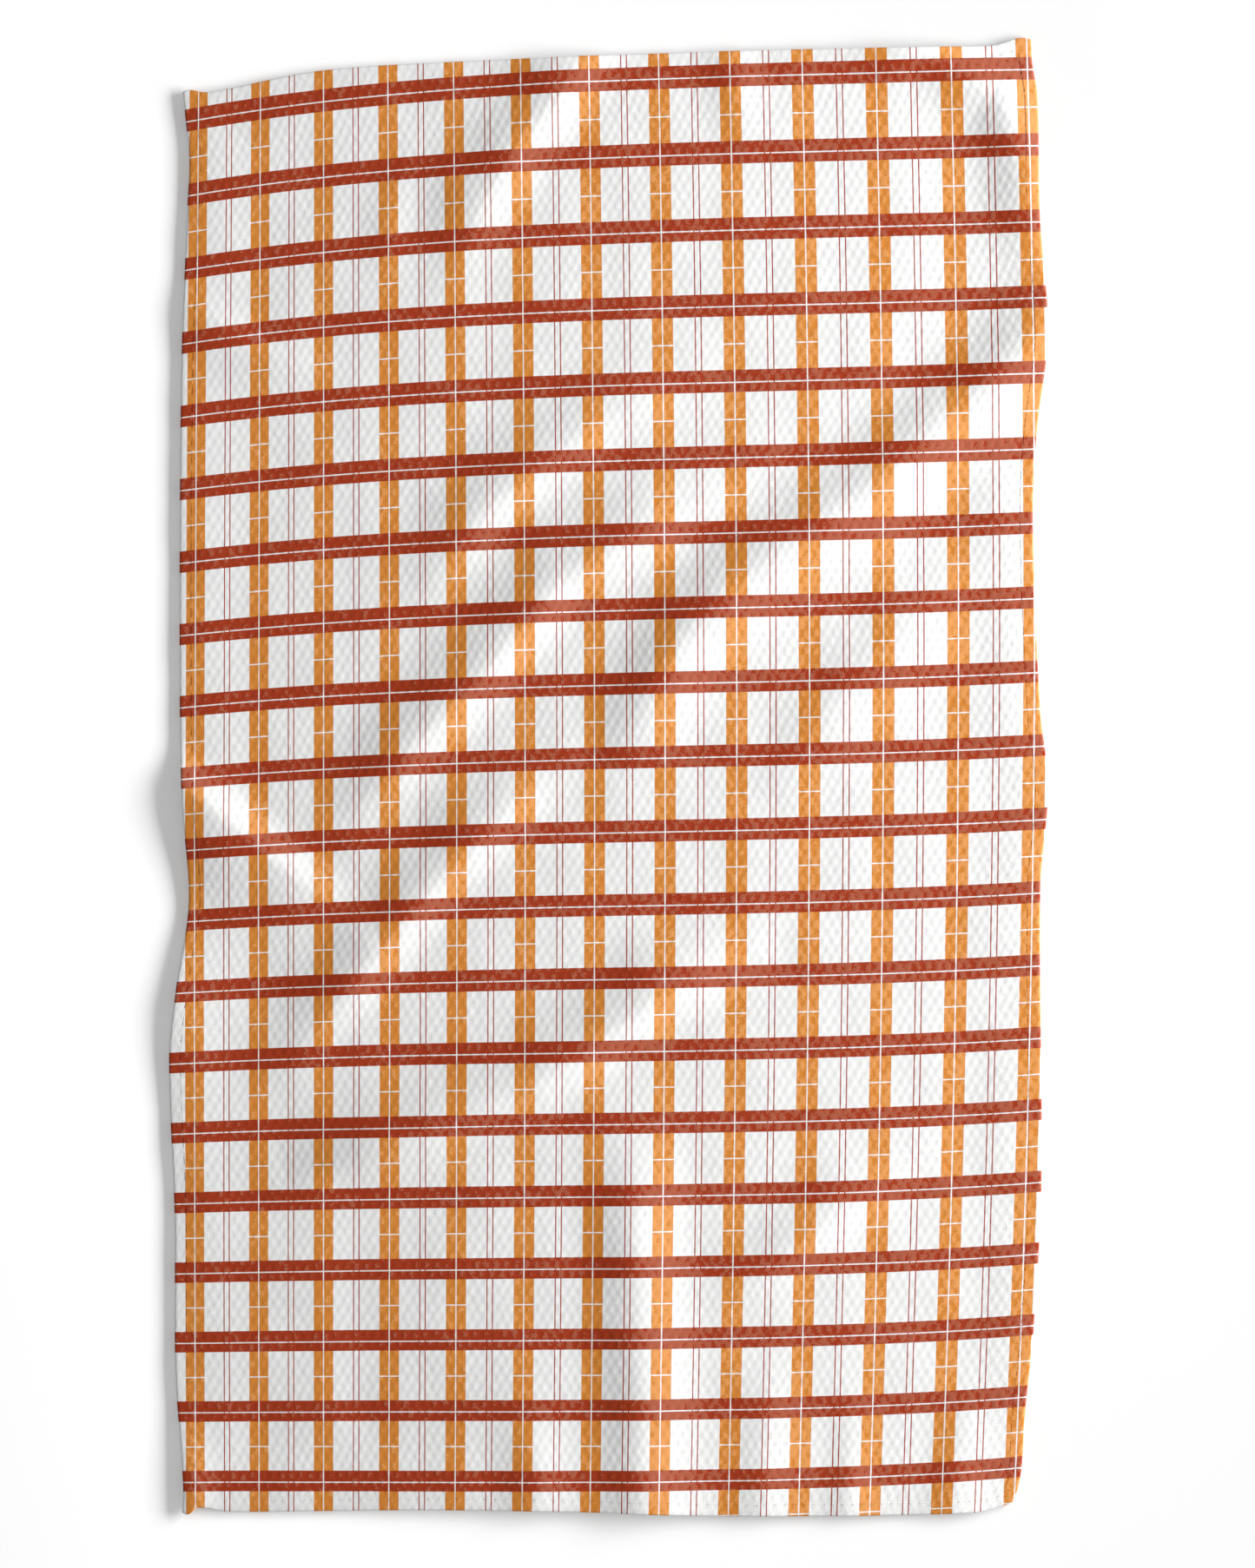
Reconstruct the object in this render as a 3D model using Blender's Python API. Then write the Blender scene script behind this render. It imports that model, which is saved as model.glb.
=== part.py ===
"""A golf towel: a hemmed waffle-weave cloth lying face up on a flat surface.

Frame: the origin is on the surface, under the middle of the towel's outline. +X runs across the
towel, +Y runs up its length and +Z points up, out of its printed face. Sizes are in metres.

The towel is a single panel of cloth. Its four margins are turned to the back and sewn down as
hems, each with a needle thread on the face and a bobbin thread on the back. A blank care label is
caught in the left hem, on the back, and swings about its sewn edge.
"""

import math

import bmesh
import bpy

MM = 0.001

# The outline, as laid. Each edge is a straight line with a waver: pairs of (fraction along the
# edge, millimetres outside the line). Side edges run from bottom to top, the others left to right.
HALF_WIDTH = 224 * MM
HALF_LENGTH = 382 * MM
LEFT_WAVER = (
    (0.00, -2.5), (0.10, 2.5), (0.21, 3.0), (0.32, 5.8), (0.37, 2.0), (0.43, -4.5),
    (0.50, -1.0), (0.58, 0.3), (0.80, -0.5), (0.92, -3.3), (1.00, -2.5),
)
RIGHT_WAVER = (
    (0.00, -13.0), (0.07, -6.0), (0.12, -1.5), (0.22, 2.6), (0.42, 2.0), (0.49, 6.2),
    (0.54, 2.0), (0.67, -2.0), (0.73, 0.0), (0.80, 5.8), (0.88, 1.2), (1.00, -3.0),
)
BOTTOM_WAVER = ((0.00, 2.0), (0.30, 1.5), (0.48, 2.5), (0.66, 4.7), (0.95, 3.0), (1.00, -2.5))
TOP_WAVER = (
    (0.00, -23.0), (0.03, -23.5), (0.16, -12.5), (0.33, -7.5), (0.65, -2.0), (0.90, 1.0),
    (1.00, 4.8),
)

# The cloth and how its margins stack up, from the surface upwards.
CLOTH_THICK = 2.0 * MM
PRESSED_THICK = 1.0 * MM  # cloth flattened by a seam
CONTACT_GAP = 0.3 * MM  # left between pieces that touch
HEM_WIDTH = 8.5 * MM
HEM_UNDERSIDE = 0.8 * MM
HEM_FOLD = 0.5 * MM  # the panel's margin overhangs the hem by this much
MARGIN_UNDERSIDE = HEM_UNDERSIDE + PRESSED_THICK + CONTACT_GAP
MARGIN_WIDTH = HEM_WIDTH + HEM_FOLD
MARGIN_SLOPE = 6.0 * MM  # where the cloth steps down from the hem to the surface

# The stitching.
SEAM_INSET = 6.5 * MM
THREAD_RADIUS = 0.2 * MM
NEEDLE_HEIGHT = MARGIN_UNDERSIDE + PRESSED_THICK + CONTACT_GAP + THREAD_RADIUS
BOBBIN_HEIGHT = HEM_UNDERSIDE - CONTACT_GAP - THREAD_RADIUS
THREAD_ENDS = 1.5 * MM  # how far a seam stops from the seam that crosses it

# The care label, on the back beside the left hem.
LABEL_LENGTH = 38 * MM
LABEL_WIDTH = 22 * MM
LABEL_THICK = 0.35 * MM
LABEL_MIDDLE_Y = -289 * MM
LABEL_SEWN_EDGE_X = -218.8 * MM
LABEL_AXIS_Z = HEM_UNDERSIDE - CONTACT_GAP - LABEL_THICK / 2
LABEL_ROOM = 0.9 * MM  # how far the panel rides up over the label
LABEL_ROOM_REACH = 26 * MM  # how far beyond the label that lift stays level
LABEL_ROOM_FADE = 30 * MM

# Grid cells of the panel between its margins.
CELLS_ACROSS = 19
CELLS_ALONG = 32

# The soft folds that the cloth keeps: the crest's path in millimetres, the crest's height and the
# distance from the crest to the level cloth on either side.
FOLDS = {
    "upper_fold": (((-105, 105), (-35, 165), (45, 206)), 3.0 * MM, 26 * MM),
    "middle_fold": (((-128, -8), (-85, 35), (-48, 72), (0, 130)), 3.6 * MM, 26 * MM),
    "long_fold": (((-25, 22), (35, 85), (110, 145), (260, 266)), 4.0 * MM, 28 * MM),
    "left_fold": (((-258, 48), (-170, -52), (-140, -75)), 3.4 * MM, 24 * MM),
    "elbow_fold": (((-158, -130), (-105, -75), (-65, -25)), 3.6 * MM, 24 * MM),
    "lower_fold": (((-135, -205), (-40, -160), (55, -88)), 3.2 * MM, 26 * MM),
    "foot_fold": (((12, -215), (16, -270), (22, -430)), 3.6 * MM, 24 * MM),
    "top_fold": (((-72, 288), (-48, 325), (10, 410)), 3.4 * MM, 24 * MM),
}
FOLD_FADE = 45 * MM  # a fold dies away over this length at each end


def clear_scene():
    for thing in list(bpy.data.objects):
        bpy.data.objects.remove(thing)


def smooth_step(value):
    value = min(max(value, 0.0), 1.0)
    return value * value * (3 - 2 * value)


def curve_through(points, at):
    """The height at a place on the smooth curve through (place, height) points."""
    last = len(points) - 2
    span = next((i for i in range(last) if at <= points[i + 1][0]), last)

    def tangent(i):
        before, after = points[max(i - 1, 0)], points[min(i + 1, last + 1)]
        return (after[1] - before[1]) / (after[0] - before[0])

    (start, low), (end, high) = points[span], points[span + 1]
    length = end - start
    u = (at - start) / length
    pull_out = tangent(span) * length * u * (1 - u) ** 2
    pull_in = tangent(span + 1) * length * u * u * (1 - u)
    return low + (high - low) * smooth_step(u) + pull_out - pull_in


def cloth_spot(across, along):
    """Where the cloth's point at these fractions of its width and length lies, seen from above."""
    left = -HALF_WIDTH - curve_through(LEFT_WAVER, along) * MM
    right = HALF_WIDTH + curve_through(RIGHT_WAVER, along) * MM
    bottom = -HALF_LENGTH - curve_through(BOTTOM_WAVER, across) * MM
    top = HALF_LENGTH + curve_through(TOP_WAVER, across) * MM
    return left + (right - left) * across, bottom + (top - bottom) * along


def fold_height(x, y, path, height, reach):
    """The lift of one fold: a rounded crest along its path that fades out at both ends."""
    path = [(px * MM, py * MM) for px, py in path]
    lengths = [math.dist(a, b) for a, b in zip(path, path[1:])]
    nearest, run = (math.inf, 0.0), 0.0
    for (ax, ay), (bx, by), length in zip(path, path[1:], lengths):
        share = ((x - ax) * (bx - ax) + (y - ay) * (by - ay)) / length**2
        share = min(max(share, 0.0), 1.0)
        away = math.dist((x, y), (ax + (bx - ax) * share, ay + (by - ay) * share))
        nearest = min(nearest, (away, run + share * length))
        run += length
    away, place = nearest
    if away >= reach:
        return 0.0
    fade = smooth_step((min(place, run - place) + FOLD_FADE / 3) / FOLD_FADE)
    return height * fade * (1 + math.cos(math.pi * away / reach)) / 2


def drape(x, y):
    """How far the folds lift the cloth off the surface."""
    return max(fold_height(x, y, *fold) for fold in FOLDS.values())


def label_lift(x, y):
    """How far the panel rides up where it lies over the care label."""
    beyond_x = x - (LABEL_SEWN_EDGE_X + LABEL_LENGTH + LABEL_ROOM_REACH)
    beyond_y = abs(y - LABEL_MIDDLE_Y) - LABEL_WIDTH / 2 - LABEL_ROOM_REACH
    away = max(beyond_x, beyond_y, 0.0)
    return LABEL_ROOM * (1 - smooth_step(away / LABEL_ROOM_FADE))


def stations(size, cells):
    """Fractions along an edge of this size: the margin, its slope, and even cells between."""
    inner = MARGIN_WIDTH + MARGIN_SLOPE
    even = [inner + (size - 2 * inner) * i / cells for i in range(cells + 1)]
    return [place / size for place in [0.0, MARGIN_WIDTH, *even, size - MARGIN_WIDTH, size]]


ACROSS = stations(2 * HALF_WIDTH, CELLS_ACROSS)
ALONG = stations(2 * HALF_LENGTH, CELLS_ALONG)


def point_at(across, along, height):
    """A point this far above the draped surface, which stays level across each margin."""
    level_across = min(max(across, ACROSS[1]), ACROSS[-2])
    level_along = min(max(along, ALONG[1]), ALONG[-2])
    x, y = cloth_spot(across, along)
    return x, y, drape(*cloth_spot(level_across, level_along)) + height


def material(name, colour, roughness):
    made = bpy.data.materials.new(name)
    made.use_nodes = True
    shader = made.node_tree.nodes["Principled BSDF"]
    shader.inputs["Base Color"].default_value = (*colour, 1.0)
    shader.inputs["Roughness"].default_value = roughness
    shader.inputs["Metallic"].default_value = 0.0
    return made


def add_object(name, data, finish):
    made = bpy.data.objects.new(name, data)
    bpy.context.scene.collection.objects.link(made)
    data.materials.append(finish)
    return made


def add_mesh(name, bm, finish):
    bmesh.ops.recalc_face_normals(bm, faces=bm.faces)
    mesh = bpy.data.meshes.new(name)
    bm.to_mesh(mesh)
    bm.free()
    mesh.shade_smooth()
    mesh.set_sharp_from_angle(angle=math.radians(40))
    return add_object(name, mesh, finish)


def make_panel(finish):
    """The cloth between its four edges: full thickness inside, pressed thin over the hems."""
    bm = bmesh.new()
    columns, rows = len(ACROSS), len(ALONG)
    bmesh.ops.create_grid(bm, x_segments=columns - 1, y_segments=rows - 1, size=1.0)
    under_verts = list(bm.verts)
    places = {}
    for vert in under_verts:
        column = round((vert.co.x + 1) / 2 * (columns - 1))
        row = round((vert.co.y + 1) / 2 * (rows - 1))
        on_margin = column in (0, 1, columns - 2, columns - 1) or row in (0, 1, rows - 2, rows - 1)
        places[vert] = (ACROSS[column], ALONG[row], on_margin)
    for vert, (across, along, on_margin) in places.items():
        x, y = cloth_spot(across, along)
        under = MARGIN_UNDERSIDE if on_margin else label_lift(x, y)
        vert.co = point_at(across, along, under)
    sides = [(vert.co.copy(), places[vert][2]) for vert in under_verts]
    thickness = {}
    for spot, on_margin in sides:
        thickness[spot.freeze()] = PRESSED_THICK if on_margin else CLOTH_THICK
    lifted = bmesh.ops.extrude_face_region(bm, geom=list(bm.faces))["geom"]
    for vert in lifted:
        if isinstance(vert, bmesh.types.BMVert):
            vert.co.z += thickness[vert.co.copy().freeze()]
    return add_mesh("cloth_panel", bm, finish)


def side_spot(side, station, inset):
    """The fractions (across, along) of a point at a station of one edge, this far inside it."""
    return {
        "left": (inset / (2 * HALF_WIDTH), station),
        "right": (1 - inset / (2 * HALF_WIDTH), station),
        "bottom": (station, inset / (2 * HALF_LENGTH)),
        "top": (station, 1 - inset / (2 * HALF_LENGTH)),
    }[side]


def side_stations(side, clear_of_corner):
    """The panel's stations along one edge. The short edges stop clear of the long ones."""
    if side in ("left", "right"):
        return ALONG
    start = clear_of_corner / (2 * HALF_WIDTH)
    inside = [station for station in ACROSS if start < station < 1 - start]
    return [start, *inside, 1 - start]


def make_hem(side, finish):
    """The turned-back margin of one edge, a flat strip under the panel."""
    top = HEM_UNDERSIDE + PRESSED_THICK
    profile = ((0.0, HEM_UNDERSIDE), (HEM_WIDTH, HEM_UNDERSIDE), (HEM_WIDTH, top), (0.0, top))
    bm = bmesh.new()
    rings = []
    for station in side_stations(side, HEM_WIDTH + CONTACT_GAP):
        spots = [(side_spot(side, station, inset), height) for inset, height in profile]
        rings.append([bm.verts.new(point_at(*spot, height)) for spot, height in spots])
    for ring, after in zip(rings, rings[1:]):
        for i in range(len(profile)):
            j = (i + 1) % len(profile)
            bm.faces.new((ring[i], ring[j], after[j], after[i]))
    bm.faces.new(rings[0])
    bm.faces.new(rings[-1])
    return add_mesh(f"hem_{side}", bm, finish)


def make_thread(name, side, height, finish):
    """One seam's thread, a round cord along the stitch line at this height."""
    curve = bpy.data.curves.new(name, "CURVE")
    curve.dimensions = "3D"
    curve.bevel_depth = THREAD_RADIUS
    curve.bevel_resolution = 1
    curve.use_fill_caps = True
    route = side_stations(side, SEAM_INSET + THREAD_ENDS)
    spline = curve.splines.new("POLY")
    spline.points.add(len(route) - 1)
    for point, station in zip(spline.points, route):
        point.co = (*point_at(*side_spot(side, station, SEAM_INSET), height), 1.0)
    return add_object(name, curve, finish)


def make_label(finish):
    """The care label, with its origin on its sewn edge."""
    bm = bmesh.new()
    bmesh.ops.create_cube(bm, size=1.0)
    for vert in bm.verts:
        vert.co.x = (vert.co.x + 0.5) * LABEL_LENGTH
        vert.co.y *= LABEL_WIDTH
        vert.co.z *= LABEL_THICK
    label = add_mesh("care_label", bm, finish)
    label.location = (LABEL_SEWN_EDGE_X, LABEL_MIDDLE_Y, LABEL_AXIS_Z)
    return label


def build():
    clear_scene()
    cloth = material("printed_cloth", (0.86, 0.85, 0.84), 0.9)
    hem_cloth = material("hem_cloth", (0.86, 0.85, 0.84), 0.9)
    thread = material("thread", (0.90, 0.89, 0.87), 0.7)
    satin = material("label_satin", (0.88, 0.88, 0.88), 0.5)
    make_panel(cloth)
    for side in ("left", "right", "bottom", "top"):
        make_hem(side, hem_cloth)
        make_thread(f"needle_thread_{side}", side, NEEDLE_HEIGHT, thread)
        make_thread(f"bobbin_thread_{side}", side, BOBBIN_HEIGHT, thread)
    make_label(satin)


build()
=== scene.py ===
"""The looks of the golf towel: printed waffle cloth with turned hems, stitches and a blank label.

The cloth is one sheet. Its printed face is a fine grid with the waffle's cells in its shape, laid
over soft folds; its edges roll over the hems; its back is plain. The plaid is a procedural print
that reads two coordinates kept on the mesh: which column band and which row band a point is at.
Lengths are in metres, or in millimetres where a table says so.
"""

import math

import bpy
import numpy as np
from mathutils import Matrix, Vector


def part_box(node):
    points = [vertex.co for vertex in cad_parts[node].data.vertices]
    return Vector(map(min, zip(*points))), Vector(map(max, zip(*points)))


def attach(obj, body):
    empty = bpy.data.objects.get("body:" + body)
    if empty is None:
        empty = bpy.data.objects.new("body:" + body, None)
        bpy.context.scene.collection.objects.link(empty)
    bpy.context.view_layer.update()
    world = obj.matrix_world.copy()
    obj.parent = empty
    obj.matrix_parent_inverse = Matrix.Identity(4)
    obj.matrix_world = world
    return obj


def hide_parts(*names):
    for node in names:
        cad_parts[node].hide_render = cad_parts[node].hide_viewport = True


MM = 0.001

# The outline, as laid: the CAD panel's waver, with the shapes of its corners added. Pairs of
# (fraction along the edge, millimetres outside the straight line). Side edges run from bottom to
# top, the others from left to right.
HALF_WIDTH = 224 * MM
HALF_LENGTH = 382 * MM
LEFT_WAVER = (
    (0.00, -1.0), (0.02, -1.6), (0.10, 2.5), (0.21, 3.0), (0.32, 5.8), (0.37, 2.0), (0.43, -4.5),
    (0.50, -1.0), (0.58, 0.3), (0.80, -0.5), (0.92, -3.8), (0.95, -4.8), (0.985, -2.4), (1.00, -1.2),
)
RIGHT_WAVER = (
    (0.00, -13.0), (0.012, -9.6), (0.028, -7.6), (0.06, -6.2), (0.12, -1.5), (0.22, 2.6),
    (0.42, 2.0), (0.49, 6.2), (0.54, 2.0), (0.67, -2.0), (0.73, 0.0), (0.80, 5.8), (0.88, 1.6),
    (0.96, 0.4), (0.985, -2.4), (1.00, -2.8),
)
BOTTOM_WAVER = (
    (0.00, 3.0), (0.007, 3.8), (0.019, 0.2), (0.05, 2.2), (0.10, 2.4), (0.30, 1.5), (0.48, 2.5),
    (0.66, 4.7), (0.95, 3.0), (1.00, -2.0),
)
TOP_WAVER = (
    (0.00, -23.0), (0.008, -22.4), (0.03, -23.6), (0.16, -12.5), (0.33, -7.5), (0.65, -2.0),
    (0.90, 0.2), (0.955, 1.0), (0.985, 4.8), (1.00, 4.4),
)

# The waffle weave: staggered rows of raised cells.
CELLS_ACROSS = 86
CELL_ROWS = 166
STEPS_PER_CELL = 4
STEPS_PER_ROW = 2
CELL_ROUNDNESS = 0.8  # 1 for a plain wave; less makes the cells flatter and their sides steeper
WAFFLE_RELIEF = 0.36 * MM  # from the mean surface to a cell's top
PRESSED_RELIEF = 0.7  # the share of it left on the margins
PRESSED_INSET = 2 * MM  # the margin is fully pressed this far in
BACK_RELIEF = 0.5 * MM  # from a hollow's floor to a cell's top, on the plain back

# How the cloth and its hems stack up from the surface.
CLOTH_THICK = 2.0 * MM
MARGIN_THICK = 1.05 * MM
HEM_WIDTH = 8.5 * MM
HEM_THICK = 1.2 * MM
HEM_UNDERSIDE = 0.7 * MM
LAYER_GAP = 0.15 * MM
MARGIN_UNDERSIDE = HEM_UNDERSIDE + HEM_THICK + LAYER_GAP
MARGIN_TOP = MARGIN_UNDERSIDE + MARGIN_THICK
MARGIN_WIDTH = 9 * MM
MARGIN_FADE = 32 * MM  # the printed face comes down from the hem to its level over this,
BACK_FADE = 16 * MM  # and the back over this
FACE_INSET = 1.0 * MM  # the rolled edge stands out this far from the printed face
ROLL = (  # its section: (outwards, down) in millimetres from the edge of the printed face
    (0.50, 0.12), (0.85, 0.50), (1.00, 1.10), (0.85, 1.80), (0.35, 2.25), (0.10, 1.80), (0.05, 1.20),
)
HEM_INSET = 0.3 * MM  # the hem's outer edge sits this far inside the printed face's edge
HEM_ENDS = 1 * MM  # the long hems stop this far from the corners
HEM_CORNER = 0.25  # its section is the squarer, the nearer this is to 0
HEM_RELIEF = 0.12 * MM  # the waffle that shows on its underside
HEM_STEP = 2.6 * MM  # between its rings of points,
HEM_SIDES = 16  # each of this many

# Stitching: a lockstitch inside each edge.
SEAM_INSET = 6.5 * MM
STITCH_LENGTH = 3.0 * MM
STITCH_SHOWING = 0.92  # the share of that which shows between its two holes
STITCH_RADIUS = 0.14 * MM
STITCH_RISE = 2.0  # from its ends to its middle, in radii
STITCH_SINK = 1.4  # from the cloth down to its ends, in radii
STITCH_ROUNDNESS = 0.6
STITCH_SIDES = 6
STITCH_STEPS = 5

# The care label, on the back beside the left hem, and the room that the panel leaves for it.
LABEL_LAYER = 0.14 * MM
LABEL_SWAY = 0.06 * MM  # how far its loose end waves
LABEL_SWAY_TURN = 1.7 * math.pi  # the wave's angle along the label,
LABEL_SWAY_SKEW = 1.3  # and across it
LABEL_DRIFT = 0.3 * MM  # its loose end lies this far off square
LABEL_STEPS = 24
LABEL_FOLD_STEPS = 5
LABEL_SIDES = 12
LABEL_ROOM = 0.9 * MM
LABEL_ROOM_REACH = 26 * MM
LABEL_ROOM_FADE = 30 * MM

# Folds that the cloth keeps. Each has its crest's path, the crest's height, and how far the cloth
# slopes away on the left and on the right of the path, all in millimetres.
FOLDS = {
    "top": (((-84, 262), (-66, 305), (-49, 332), (-20, 368), (6, 410)), 3.9, 46, 29),
    "upper": (((-100, 98), (-72, 134), (-42, 162), (-8, 186), (40, 208)), 3.6, 42, 27),
    "middle": (((-140, -22), (-110, 10), (-65, 58), (-25, 104), (12, 128), (64, 152)), 4.4, 44, 27),
    "long": (
        ((2, 4), (20, 40), (46, 80), (76, 108), (122, 140), (168, 178), (225, 230), (262, 262)),
        5.2, 42, 44,
    ),
    "left": (((-270, 34), (-214, -14), (-178, -44), (-140, -74)), 4.7, 25, 58),
    "elbow": (((-170, -150), (-128, -98), (-90, -52), (-64, -26), (-26, 10)), 4.0, 40, 26),
    "lower": (((-170, -208), (-100, -184), (-38, -158), (-6, -137), (24, -116), (72, -90)), 5.8, 46, 28),
    "foot": (((9, -180), (14, -250), (17, -330), (19, -440)), 3.9, 40, 40),
    "right": (((80, -10), (120, 38), (150, 72), (190, 110)), 2.1, 36, 48),
    "lower_right": (((60, -270), (110, -235), (160, -200)), 3.4, 40, 28),
    "corner": (((100, 388), (165, 380), (205, 357), (220, 320), (226, 250)), 3.0, 28, 34),
    "top_dimple": (((62, 410), (66, 372), (72, 322)), 1.7, 26, 26),
    "foot_left": (((-42, -308), (-40, -350), (-36, -425)), 1.9, 26, 30),
    "foot_right": (((86, -300), (82, -350), (80, -425)), 1.7, 26, 26),
    "foot_notch": (((128, -325), (126, -370), (124, -425)), 1.4, 20, 20),
    "foot_corner": (((186, -315), (184, -356), (178, -425)), 1.9, 30, 26),
    "left_corner": (((-224, -325), (-214, -425)), 1.9, 20, 20),
    "left_blob": (((-233, -72), (-233, -115), (-229, -158)), 3.2, 48, 30),
    "left_spot": (((-118, 250), (-116, 290), (-104, 330)), 1.3, 24, 20),
    "left_upper": (((-236, 256), (-185, 222), (-140, 203)), 1.5, 20, 34),
    "foot_swell": (((-60, -200), (-50, -320), (-40, -470)), 2.6, 300, 150),
}
FOLD_FADE = 85 * MM  # a fold dies away over this length at each end
FOLD_END = 0.25  # but this share of that fade is still to come at the path's own end
FOLD_CREST_BLEND = 8 * MM  # the width over which one side's slope gives way to the other's

# Slight unevenness all over, as the sum of a few seeded waves.
RIPPLES = 14
RIPPLE_HEIGHT = 0.16 * MM
RIPPLE_LENGTHS = (28 * MM, 80 * MM)
RIPPLE_SEED = 7
RIPPLE_BASE = 0.32 * MM  # keeps their hollows off the surface

# The print. Columns are counted from the left and rows from the top, each at its band's middle.
# The check widens towards the right and towards the top.
COLUMN_START = -216.4 * MM
COLUMN_PITCH = 33.12 * MM
COLUMN_GROWTH = 0.291 * MM
BOW_STRAIGHT_X = -149 * MM  # the columns bow more and more to the right of this line,
BOW_GROWTH = 0.135  # by so much per metre of x and per metre squared of y
BOW_MIDDLE_Y = -22 * MM  # from the height where a column stands furthest out,
BOW_MIDDLE_LEAN = 0.53  # which is higher by this much for each metre to the right
ROW_START = 361.3 * MM
ROW_PITCH = 40.0 * MM
ROW_GROWTH = 0.0845 * MM
LAST_ROW = 19
# The rows run slightly out of true: the top row's left end drops and its right end rises, and so
# does the last row's right end. The rows between them go from the one shape to the other.
TOP_DROP_LEFT = 15.9 * MM
TOP_DROP_POWER = 4  # the higher, the sooner the drop ends along the row
TOP_RISE_RIGHT = 9.5 * MM
TOP_FADE_POWER = 1.15  # the higher, the sooner the top row's shape ends down the towel
FOOT_RISE_RIGHT = 7.7 * MM
FOOT_RISE_POWER = 5  # the higher, the later the rise starts along the row
PRINT_LEFT = -209.3 * MM
PRINT_WIDTH = 427 * MM
PRINT_SPARE = 0.05  # the rows keep bending for this share of that width beyond each side
ROW_ROUNDS = 5  # a row's shape depends on its number, so the number is worked out this many times

# The plaid's widths and offsets, as shares of a column's or a row's pitch.
BAND_HALF = 0.148
PAIR_OFFSET = 0.041  # from midway between two columns to each of the two thin rust lines
PAIR_HALF = 0.0085
LINE_HALF = 0.0085
ROW_LINE_OFFSET = 0.018  # the white line in a rust band is this far below its middle
TIE_OFFSET = 0.01  # the short white line on an orange band is this far below the half row
PRINT_BLUR = 0.003

WHITE = (0.724, 0.722, 0.718)
LINE_WHITE = (0.707, 0.672, 0.638)
RUST = (0.305, 0.026, 0.0005)
ORANGE = (0.570, 0.198, 0.024)
PLAIN_WHITE = (0.741, 0.737, 0.724)
THREAD_WHITE = (0.69, 0.681, 0.664)
SATIN = (0.759, 0.759, 0.759)
SATIN_SHADE = (0.69, 0.69, 0.698)

# The yarns' mottling: noise at two sizes, the cells and the yarns that fan out in each cell.
FINE_NOISE = (900.0, 3.0, 0.6)  # scale, detail and roughness
COARSE_NOISE = (210.0, 2.0, 0.5)
CELL_SHARE = 0.22
YARN_SHARE = 0.05
YARN_BUMP = 0.15
YARNS_PER_CELL = 3
YARNS_PER_ROW = 3
WOOL_DEPTH = 0.35 * MM
WOOL_ROUGH = 0.62  # between the raised yarns,
WOOL_SMOOTH = 0.48  # and on them

# The paler print on the raised yarns, and a painted highlight on slopes facing the key light: its colour
# is multiplied, then added to, then limited.
LIGHTER = (1.1, 1.1, 1.5)
LIGHTER_TINT = (0.03, 0.066, 0.047)
LIGHTEST = (0.759, 0.759, 0.75)
PALER_FROM = 1.045  # the mottling at which the print starts to turn paler,
PALER_TO = 1.095  # and at which it is fully paler. A painted highlight makes it come sooner
PAINTED_HIGHLIGHT_BY_SLOPE = 1.7  # on a slope that faces the key light's side
PAINTED_HIGHLIGHT_BY_X = 0.6  # and, for each metre, towards the towel's right, the key light's side
SLOPE_STEP = 2.0 * MM

# The materials' finer points.
CLOUD_SCALE = 40.0  # the plain cloth's slow changes of white
TWIST_SCALE = 1500.0
TWIST_DEPTH = 0.05 * MM
TWIST_STRENGTH = 0.5
THREAD_NOISE = 400.0
SATIN_RIBS = 160
SATIN_RIB_SHARE = 0.4
SATIN_NOISE = 160.0
SATIN_DEPTH = 0.08 * MM
SATIN_STRENGTH = 0.35
SELVEDGE = (0.44, 0.47)  # where it starts and where it is full, from the ribbon's middle line

# The floor shows as even white: it is the less bright in itself, the nearer it is to the key light.
FLOOR_HALF = 6.0  # of its side
FLOOR_GAP = 0.05 * MM  # it lies this far under the towel
FLOOR_FAR = (0.99, 0.99, 0.99)
FLOOR_NEAR = (0.61, 0.61, 0.61)
FLOOR_SPAN = 0.3  # from the middle to where it is fully the one or the other
FLOOR_GLOW = 0.1

# The light: a white world and a softbox, which faces the origin.
WORLD_STRENGTH = 0.40
KEY_AZIMUTH = 8.0  # degrees from +X towards +Y
KEY_ELEVATION = 23.0  # degrees
KEY_DISTANCE = 2.1
KEY_WIDTH = 1.9
KEY_HEIGHT = 0.7
KEY_POWER = 97.0  # watts

# How the panel is laid out on a baked map.
BAKE_FRONT = 0.72  # the share of the map's height that the printed face takes
BAKE_EDGE = 0.008

# The view: straight down on the towel, from far away.
CAMERA_HEIGHT = 4.0
CAMERA_AIM = (10.0 * MM, -3.6 * MM)  # the point under the middle of the view
VIEW_LENGTH = 821 * MM  # what its longer side takes in
VIEW_END = 50.0
SENSOR = 36.0  # the camera's own millimetres, of its longer side


def smooth_step(value):
    value = np.clip(value, 0.0, 1.0)
    return value * value * (3 - 2 * value)


def curve_through(points, at):
    """Heights at an array of places on the smooth curve through (place, height) points."""
    places = np.array([p for p, _ in points])
    heights = np.array([h for _, h in points])
    last = len(points) - 1
    before = np.maximum(np.arange(last + 1) - 1, 0)
    after = np.minimum(np.arange(last + 1) + 1, last)
    tangents = (heights[after] - heights[before]) / (places[after] - places[before])
    span = np.clip(np.searchsorted(places, at, side="right") - 1, 0, last - 1)
    length = places[span + 1] - places[span]
    u = (at - places[span]) / length
    pull_out = tangents[span] * length * u * (1 - u) ** 2
    pull_in = tangents[span + 1] * length * u * u * (1 - u)
    return heights[span] + (heights[span + 1] - heights[span]) * smooth_step(u) + pull_out - pull_in


def cloth_spot(across, along):
    """Where points at these fractions of the cloth's width and length lie, seen from above."""
    left = -HALF_WIDTH - curve_through(LEFT_WAVER, along) * MM
    right = HALF_WIDTH + curve_through(RIGHT_WAVER, along) * MM
    bottom = -HALF_LENGTH - curve_through(BOTTOM_WAVER, across) * MM
    top = HALF_LENGTH + curve_through(TOP_WAVER, across) * MM
    return left + (right - left) * across, bottom + (top - bottom) * along


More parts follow.
